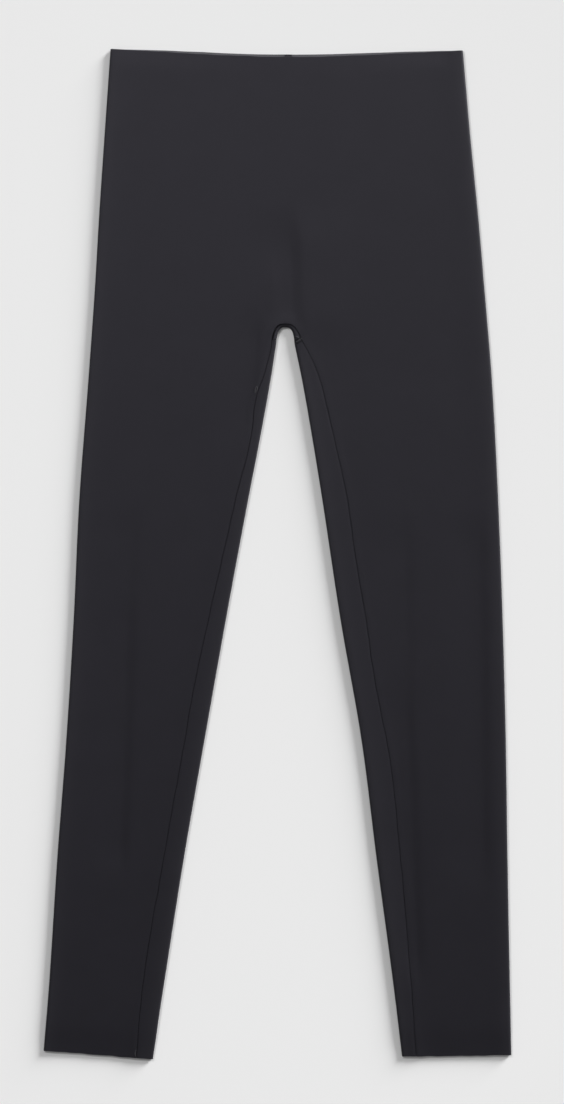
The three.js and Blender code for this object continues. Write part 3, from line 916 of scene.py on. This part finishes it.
def knit_material():
    nodes = Nodes("charcoal_knit")
    place = nodes.add("ShaderNodeUVMap", {"uv_map": "cloth_mm"}).outputs["UV"]
    split = nodes.add("ShaderNodeSeparateXYZ", Vector=place)
    height = knit_height(nodes, split.outputs["X"], split.outputs["Y"])
    cloud = nodes.math("MULTIPLY", nodes.noise(place, CLOUD_SCALE), CLOUD_SHARE)
    fibre = nodes.noise(place, FIBRE_SCALE)
    mixed = nodes.math("ADD", cloud, nodes.math("MULTIPLY", fibre, FIBRE_SHARE))
    tone = nodes.add("ShaderNodeMapRange", {"clamp": True}, Value=mixed, From_Min=TONE_FROM, From_Max=TONE_TO)
    face = nodes.mix(tone.outputs["Result"], KNIT_DARK, KNIT_LIGHT)
    # Share of the lighter inner side, with a painted highlight on the cut edges
    inside = nodes.add("ShaderNodeAttribute", {"attribute_name": "inside"}).outputs["Fac"]
    # Painted sheen beside the folded edges, read from the points
    edge_sheen = nodes.add("ShaderNodeAttribute", {"attribute_name": "edge_sheen"}).outputs["Fac"]
    lighter = nodes.math("ADD", inside, nodes.math("MULTIPLY", edge_sheen, EDGE_SHEEN_LIGHT))
    relief = nodes.math("ADD", height, nodes.math("MULTIPLY", fibre, FIBRE_RELIEF))
    nodes.finish(nodes.mix(lighter, face, KNIT_INSIDE_AND_SHEEN), relief, strength=0.35, distance=0.00016)
    return nodes.sockets(
        Roughness=0.6, Specular_IOR_Level=0.38, Specular_Tint=KNIT_TINT, Sheen_Weight=0.04, Sheen_Roughness=0.5
    )


CHARCOAL = ((0.004, 0.004, 0.006, 1), (0.008, 0.008, 0.011, 1))
GREY = ((0.045, 0.045, 0.05, 1), (0.085, 0.085, 0.09, 1))
TWIST_SCALE = 2600.0


def thread_material(name, dark, light):
    nodes = Nodes(name)
    place = nodes.add("ShaderNodeTexCoord").outputs["Object"]
    twist = nodes.add("ShaderNodeTexWave", {"bands_direction": "DIAGONAL"}, Vector=place, Scale=TWIST_SCALE)
    turns = twist.outputs["Fac"]
    nodes.finish(nodes.mix(turns, dark, light), turns, strength=0.4, distance=0.00005)
    return nodes.sockets(Roughness=0.7, Specular_IOR_Level=0.2)


# Stitches
def stitch_tree():
    """Lays short thread bars across a line, slanted and a little uneven."""
    tree = bpy.data.node_groups.new("seam_stitches", "GeometryNodeTree")
    face = tree.interface
    face.new_socket("Seam", in_out="INPUT", socket_type="NodeSocketGeometry")
    for name in ("Pitch", "Length", "Thread", "Slant", "Uneven"):
        face.new_socket(name, in_out="INPUT", socket_type="NodeSocketFloat")
    face.new_socket("Material", in_out="INPUT", socket_type="NodeSocketMaterial")
    face.new_socket("Stitches", in_out="OUTPUT", socket_type="NodeSocketGeometry")

    def node(kind, **links):
        made = tree.nodes.new(kind)
        for key, value in links.items():
            socket = made.inputs[key.replace("_", " ")]
            if isinstance(value, bpy.types.NodeSocket):
                tree.links.new(value, socket)
            else:
                socket.default_value = value
        return made

    given = node("NodeGroupInput").outputs
    curve = node("GeometryNodeMeshToCurve", Mesh=given["Seam"])
    even = node("GeometryNodeResampleCurve", Curve=curve.outputs["Curve"])
    even.mode = "LENGTH"
    tree.links.new(given["Pitch"], even.inputs["Length"])
    bar = node("GeometryNodeMeshUVSphere", Segments=6, Rings=5, Radius=0.5)
    size = node("ShaderNodeCombineXYZ", X=given["Length"], Y=given["Thread"], Z=given["Thread"])
    shaped = node("GeometryNodeTransform", Geometry=bar.outputs["Mesh"], Scale=size.outputs["Vector"])
    tangent = node("GeometryNodeInputTangent")
    aimed = node("FunctionNodeAlignRotationToVector", Vector=tangent.outputs["Tangent"])
    aimed.axis = "Y"
    aimed.pivot_axis = "Z"
    uneven = node("FunctionNodeRandomValue", Seed=STITCH_SEED)
    uneven.data_type = "FLOAT"
    least = node("ShaderNodeMath")
    least.operation = "SUBTRACT"
    most = node("ShaderNodeMath")
    for made in (least, most):
        tree.links.new(given["Slant"], made.inputs[0])
        tree.links.new(given["Uneven"], made.inputs[1])
    tree.links.new(least.outputs[0], uneven.inputs[2])
    tree.links.new(most.outputs[0], uneven.inputs[3])
    turn = node("ShaderNodeCombineXYZ", Z=uneven.outputs[1])
    turned = node("FunctionNodeEulerToRotation", Euler=turn.outputs["Vector"])
    rotation = node(
        "FunctionNodeRotateRotation", Rotation=aimed.outputs["Rotation"], Rotate_By=turned.outputs["Rotation"]
    )
    rotation.rotation_space = "LOCAL"
    laid = node(
        "GeometryNodeInstanceOnPoints",
        Points=even.outputs["Curve"],
        Instance=shaped.outputs["Geometry"],
        Rotation=rotation.outputs["Rotation"],
    )
    real = node("GeometryNodeRealizeInstances", Geometry=laid.outputs["Instances"])
    soft = node("GeometryNodeSetShadeSmooth", Geometry=real.outputs["Geometry"])
    coloured = node("GeometryNodeSetMaterial", Geometry=soft.outputs["Geometry"], Material=given["Material"])
    node("NodeGroupOutput", Stitches=coloured.outputs["Geometry"])
    return tree


def lay_stitches(name, line, tree, material):
    """A row of stitches along a line of points in millimetres."""
    mesh = bpy.data.meshes.new(name + "_line")
    edges = [(index, index + 1) for index in range(len(line) - 1)]
    mesh.from_pydata((np.array(line) * MM).tolist(), edges, [])
    guide = new_object(name + "_line", mesh)
    modifier = guide.modifiers.new("stitches", "NODES")
    modifier.node_group = tree
    values = {
        "Pitch": STITCH_PITCH * MM,
        "Length": STITCH_LENGTH * MM,
        "Thread": THREAD * MM,
        "Slant": STITCH_SLANT,
        "Uneven": STITCH_UNEVEN,
        "Material": material,
    }
    for item in tree.interface.items_tree:
        if item.in_out == "INPUT" and item.name in values:
            modifier[item.identifier] = values[item.name]
    evaluated = guide.evaluated_get(bpy.context.evaluated_depsgraph_get())
    stitches = new_object(name, bpy.data.meshes.new_from_object(evaluated))
    stitches.data.name = name
    bpy.data.objects.remove(guide)
    bpy.data.meshes.remove(mesh)
    return stitches


def front_line(side):
    """Where the threads of a side's seam lie on the front, from the arch's top down the leg."""
    points = []
    for y in row_heights():
        if ROWS_END_Y <= y <= CROTCH_Y + GUSSET_BAND:
            x = front_seam(side, y)
            z = height_at(front_mid, x, y) + CLOTH / 2 + STITCH_SINK
            points.append((x, y + shift_at(side, x, y, 1.0), z))
    return points


def back_line(side, low, top):
    """Where the threads lie under the back: along the centre seam, or along an edge of the gusset's leaf."""
    points = []
    for y in row_heights():
        if low <= y <= top:
            x = CROTCH_X + SIGN[side] * (half_leaf(y) if y < LEAF_TIP_Y else 0.0)
            z = height_at(back_mid, x, y) - CLOTH / 2 + BACK_STITCH_INSET
            points.append((x, y + shift_at("left", x, y, 0.0), z))
    return points


# Loose threads, and the bar tack at the right end of the gusset, each by its points on the front
THREAD_ENDS = [
    {"points": [(-21.8, 156), (-21.4, 160.5), (-20.1, 162.6), (-19.6, 160.2), (-20.8, 157.4)], "thick": 0.55},
    {"points": [(-137.6, -487), (-138.1, -484), (-137.4, -481.6), (-136.4, -480.9)], "thick": 0.4},
    {"points": [(17.6, 205.4), (20.6, 207.3), (23.6, 209.1)], "thick": 0.6},
    {"points": [(17.6, 211.0), (19.4, 210.6), (21.2, 209.6)], "thick": 0.5},
]
BAR_TACK = [
    {"points": [(17.0, 206.8), (19.6, 208.6), (22.6, 210.6)], "thick": 0.9},
    {"points": [(18.4, 203.9), (21.2, 205.6), (24.2, 207.4)], "thick": 0.9},
]


def spline_points(points, steps):
    """Points of a smooth curve through the given ones, with even weights on their neighbours."""
    points = np.array(points, float)
    ends = np.concatenate([[2 * points[0] - points[1]], points, [2 * points[-1] - points[-2]]])
    made = []
    for a, b, c, d in zip(ends[:-3], ends[1:-2], ends[2:-1], ends[3:]):
        for t in np.linspace(0, 1, steps, endpoint=False):
            made.append(
                0.5 * (2 * b + (c - a) * t + (2 * a - 5 * b + 4 * c - d) * t * t + (3 * b - a - 3 * c + d) * t**3)
            )
    return np.array([*made, points[-1]])


def make_threads(name, threads):
    """Round threads that lie on the front, thinner at both ends."""
    form = bmesh.new()
    for end in threads:
        path = spline_points(end["points"], THREAD_STEPS)
        radius = end["thick"] / 2
        heights = [height_at(front_mid, x, y) + CLOTH / 2 + radius * THREAD_LIFT for x, y in path]
        rings = []
        for index, ((x, y), z) in enumerate(zip(path, heights)):
            run = path[min(index + 1, len(path) - 1)] - path[max(index - 1, 0)]
            side = np.array([run[1], -run[0]]) / np.linalg.norm(run)
            taper = THREAD_TAPER if index in (0, len(path) - 1) else 1
            ring = []
            for angle in np.linspace(0, 2 * math.pi, THREAD_SIDES, endpoint=False):
                off = side * radius * taper * math.cos(angle)
                point = (x + off[0], y + off[1], z + radius * taper * math.sin(angle))
                ring.append(form.verts.new(tuple(value * MM for value in point)))
            rings.append(ring)
        for a, b in zip(rings[:-1], rings[1:]):
            for index in range(THREAD_SIDES):
                after = (index + 1) % THREAD_SIDES
                form.faces.new((a[index], a[after], b[after], b[index]))
        form.faces.new(rings[0])
        form.faces.new(rings[-1])
    bmesh.ops.recalc_face_normals(form, faces=form.faces)
    for face in form.faces:
        face.smooth = True
    mesh = bpy.data.meshes.new(name)
    form.to_mesh(mesh)
    form.free()
    return new_object(name, mesh)


# The floor's tone leans a little across and along, within narrow limits: painted light and shade, darker towards the
# top lamp and lighter away from it, so that the floor shows evenly bright.
FLOOR_SIZE, FLOOR_LEVEL = 60, -0.0001
FLOOR_TONE = 0.845
FLOOR_SLOPE = -0.103
FLOOR_TILT = 0.105
FLOOR_LEAST, FLOOR_MOST = 0.75, 0.92


def make_scene_stage():
    bpy.ops.mesh.primitive_plane_add(size=FLOOR_SIZE, location=(0, 0, FLOOR_LEVEL))
    floor = bpy.context.object
    floor.name = "floor"
    nodes = Nodes("pale_floor")
    place = nodes.add("ShaderNodeTexCoord").outputs["Object"]
    split = nodes.add("ShaderNodeSeparateXYZ", Vector=place)
    # Painted light and shade along and across the floor, against the top lamp's falloff
    lengthwise = nodes.math("ADD", nodes.math("MULTIPLY", split.outputs["Y"], FLOOR_SLOPE), FLOOR_TONE)
    level = nodes.math("ADD", nodes.math("MULTIPLY", split.outputs["X"], FLOOR_TILT), lengthwise)
    tone = nodes.math("MINIMUM", nodes.math("MAXIMUM", level, FLOOR_LEAST), FLOOR_MOST)
    grey = nodes.add("ShaderNodeCombineXYZ", X=tone, Y=tone, Z=tone)
    nodes.set(nodes.shader, "Base Color", grey.outputs["Vector"])
    floor.data.materials.append(nodes.sockets(Roughness=1.0, Specular_IOR_Level=0.0))
    return floor


def sun(name, azimuth, elevation, angle, strength):
    """A far soft light. Azimuth 0 is towards +X and 90 towards +Y."""
    data = bpy.data.lights.new(name, "SUN")
    data.energy = strength
    data.angle = math.radians(angle)
    new_object(name, data).rotation_euler = (0, math.radians(90 - elevation), math.radians(azimuth))


def panel_light(name, place, size, power):
    """A soft square light that faces the middle of the leggings."""
    data = bpy.data.lights.new(name, "AREA")
    data.shape = "SQUARE"
    data.size = size
    data.energy = power
    lamp = new_object(name, data)
    lamp.location = place
    lamp.rotation_euler = Vector(place).to_track_quat("Z", "Y").to_euler()


# The photo's height in pixels, its scale, and the middle of its frame in millimetres
PHOTO_HEIGHT = 1104
MM_PER_PIXEL = 0.97
PHOTO_CENTRE_X, PHOTO_CENTRE_Y = 4.4, 2.1
LENS, SENSOR = 85, 36
EDGE_HEIGHT = 2.3


def make_camera():
    data = bpy.data.cameras.new("camera")
    data.lens = LENS
    data.sensor_width = SENSOR
    camera = new_object("camera", data)
    distance = PHOTO_HEIGHT * MM_PER_PIXEL * LENS / SENSOR + EDGE_HEIGHT
    camera.location = (PHOTO_CENTRE_X * MM, PHOTO_CENTRE_Y * MM, distance * MM)
    bpy.context.scene.camera = camera


STUDIO_LIGHT = 0.23


def make_world():
    world = bpy.data.worlds.new("studio")
    bpy.context.scene.world = world
    world.use_nodes = True
    background = world.node_tree.nodes["Background"].inputs
    background["Color"].default_value = (1, 1, 1, 1)
    background["Strength"].default_value = STUDIO_LIGHT


knit = knit_material()
floor = make_scene_stage()
body = make_body()
body.data.materials.append(knit)
gusset = make_gusset()
gusset.data.materials.append(knit)
allowances = make_allowances()
allowances.data.materials.append(knit)
tree = stitch_tree()
thread = thread_material("charcoal_thread", *CHARCOAL)
grey_thread = thread_material("grey_thread", *GREY)
inseams = lay_stitches("inseam_stitches", front_line("left")[::-1] + front_line("right"), tree, thread)
leaf_ends = (GUSSET_END_TOP_Y + LEAF_STITCH_GAP, LEAF_TIP_Y - LEAF_STITCH_TIP_GAP)
leaf_line = back_line("left", *leaf_ends)[::-1] + back_line("right", *leaf_ends)
leaf = lay_stitches("gusset_stitches", leaf_line, tree, thread)
centre_line = back_line("left", LEAF_TIP_Y + CENTRE_SEAM_GAP, ROWS_START_Y)
centre = lay_stitches("centre_back_stitches", centre_line, tree, thread)
ends = make_threads("thread_ends", THREAD_ENDS)
ends.data.materials.append(grey_thread)
tack = make_threads("bar_tack", BAR_TACK)
tack.data.materials.append(thread)
stitches = [inseams, leaf, centre, ends, tack]

make_world()
sun("key", azimuth=44, elevation=13, angle=24, strength=6.4)
panel_light("top", place=(-1.4, 1.45, 2.4), size=0.9, power=36)
make_camera()
view = bpy.context.scene.view_settings
view.view_transform = "Standard"
view.look = "None"

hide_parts("body")
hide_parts("gusset")
for piece in (body, gusset, allowances, *stitches):
    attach(piece, "root")
